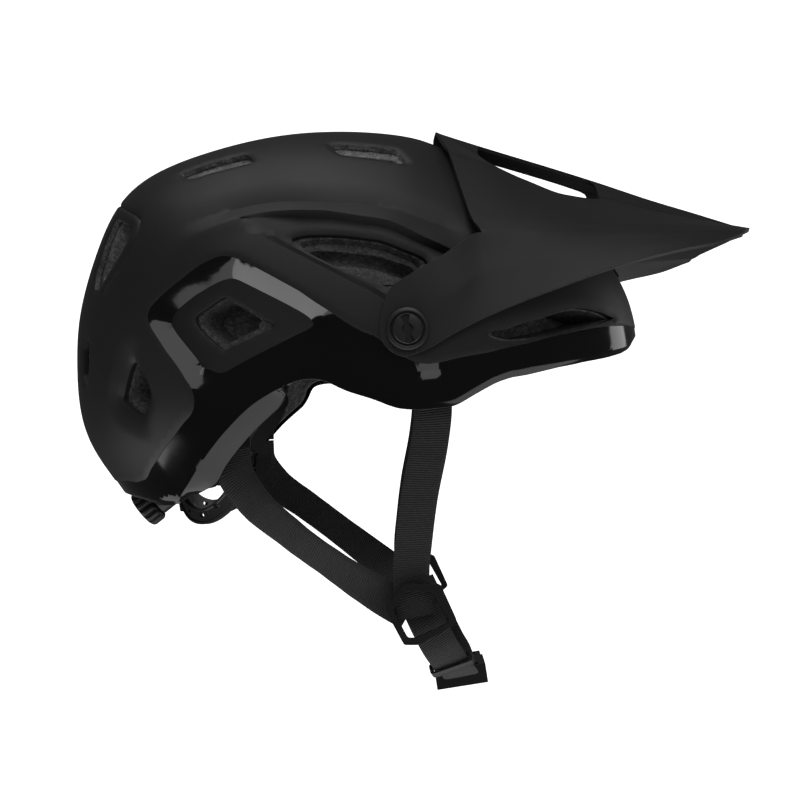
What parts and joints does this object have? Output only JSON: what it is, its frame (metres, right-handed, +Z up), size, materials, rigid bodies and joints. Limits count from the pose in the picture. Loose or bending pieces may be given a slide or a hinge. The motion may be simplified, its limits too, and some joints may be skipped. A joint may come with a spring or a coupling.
{
  "type": "cycling helmet",
  "caption": "Trail cycling helmet with matt and gloss shells over a foam liner, tilting visor on screws, occipital cradle with fit dial, and strapped chin buckle.",
  "frame": {"origin": "centre of the head cavity, where the wearer's head holds the helmet", "axes": "+X forward, out of the wearer's face, +Y to the wearer's left, +Z up"},
  "size_m": [0.3523, 0.217, 0.2909],
  "materials": {
    "matt_shell": "matt, very dark grey",
    "gloss_shell": "gloss black",
    "foam": "expanded bead foam, dark grey",
    "pad": "knitted black fabric over soft foam",
    "plastic": "satin black moulding",
    "screw": "satin black",
    "webbing": "woven black webbing",
    "rubber": "black elastic"
  },
  "bodies": {
    "helmet": {"upper_shell": "matt_shell", "lower_shell": "gloss_shell", "foam_liner": "foam", "pad_brow": "pad", "pad_crown": "pad", "pad_side_left": "pad", "pad_side_right": "pad", "visor_boss_left": "plastic", "visor_boss_right": "plastic", "visor_stop": "plastic", "cradle_peg_left": "plastic", "cradle_peg_right": "plastic", "height_guide": "plastic", "anchor_front_left": "plastic", "anchor_front_right": "plastic", "anchor_rear_left": "plastic", "anchor_rear_right": "plastic", "strap_front_left": "webbing", "strap_front_right": "webbing", "strap_rear_left": "webbing", "strap_rear_right": "webbing", "chin_strap_left": "webbing", "chin_strap_right": "webbing", "strap_divider_left": "plastic", "strap_divider_right": "plastic", "buckle_socket": "plastic", "strap_keeper": "rubber"},
    "visor": {"visor": "matt_shell"},
    "screw_left": {"visor_screw_left": "screw"},
    "screw_right": {"visor_screw_right": "screw"},
    "cradle": {"cradle": "plastic"},
    "dial": {"fit_dial": "plastic"},
    "belt_left": {"fit_belt_left": "plastic"},
    "belt_right": {"fit_belt_right": "plastic"},
    "plug": {"buckle_plug": "plastic"}
  },
  "joints": [
    {"name": "visor_tilt", "type": "hinge", "parent": "helmet", "child": "visor", "pos_m": [0.0238, 0, -0.0044], "axis": [0, 1, 0], "range_deg": [-2, 10]},
    {"name": "visor_screw_left_turn", "type": "hinge", "parent": "helmet", "child": "screw_left", "pos_m": [0.0238, 0.1, -0.0044], "axis": [0, 1, 0], "continuous": true},
    {"name": "visor_screw_right_turn", "type": "hinge", "parent": "helmet", "child": "screw_right", "pos_m": [0.0238, -0.1, -0.0044], "axis": [0, -1, 0], "continuous": true},
    {"name": "cradle_height", "type": "hinge", "parent": "helmet", "child": "cradle", "pos_m": [-0.05, 0, -0.038], "axis": [0, 1, 0], "range_deg": [-7, 0]},
    {"name": "dial_turn", "type": "hinge", "parent": "cradle", "child": "dial", "pos_m": [-0.1177, 0, -0.0969], "axis": [-0.7799, 0, -0.6259], "range_deg": [-150, 150]},
    {"name": "belt_left_slide", "type": "hinge", "parent": "cradle", "child": "belt_left", "pos_m": [-0.037, 0, -0.0755], "axis": [0, 0, 1], "range_deg": [-3, 3]},
    {"name": "belt_right_slide", "type": "hinge", "parent": "cradle", "child": "belt_right", "pos_m": [-0.037, 0, -0.0755], "axis": [0, 0, 1], "range_deg": [-3, 3]},
    {"name": "buckle_release", "type": "slide", "parent": "helmet", "child": "plug", "axis": [0, 1, 0], "range_m": [0, 0.022], "deforming": ["chin_strap_left"]}
  ],
  "couplings": [
    {"joint": "belt_left_slide", "follows": "dial_turn", "ratio": 0.02},
    {"joint": "belt_right_slide", "follows": "dial_turn", "ratio": -0.02}
  ]
}
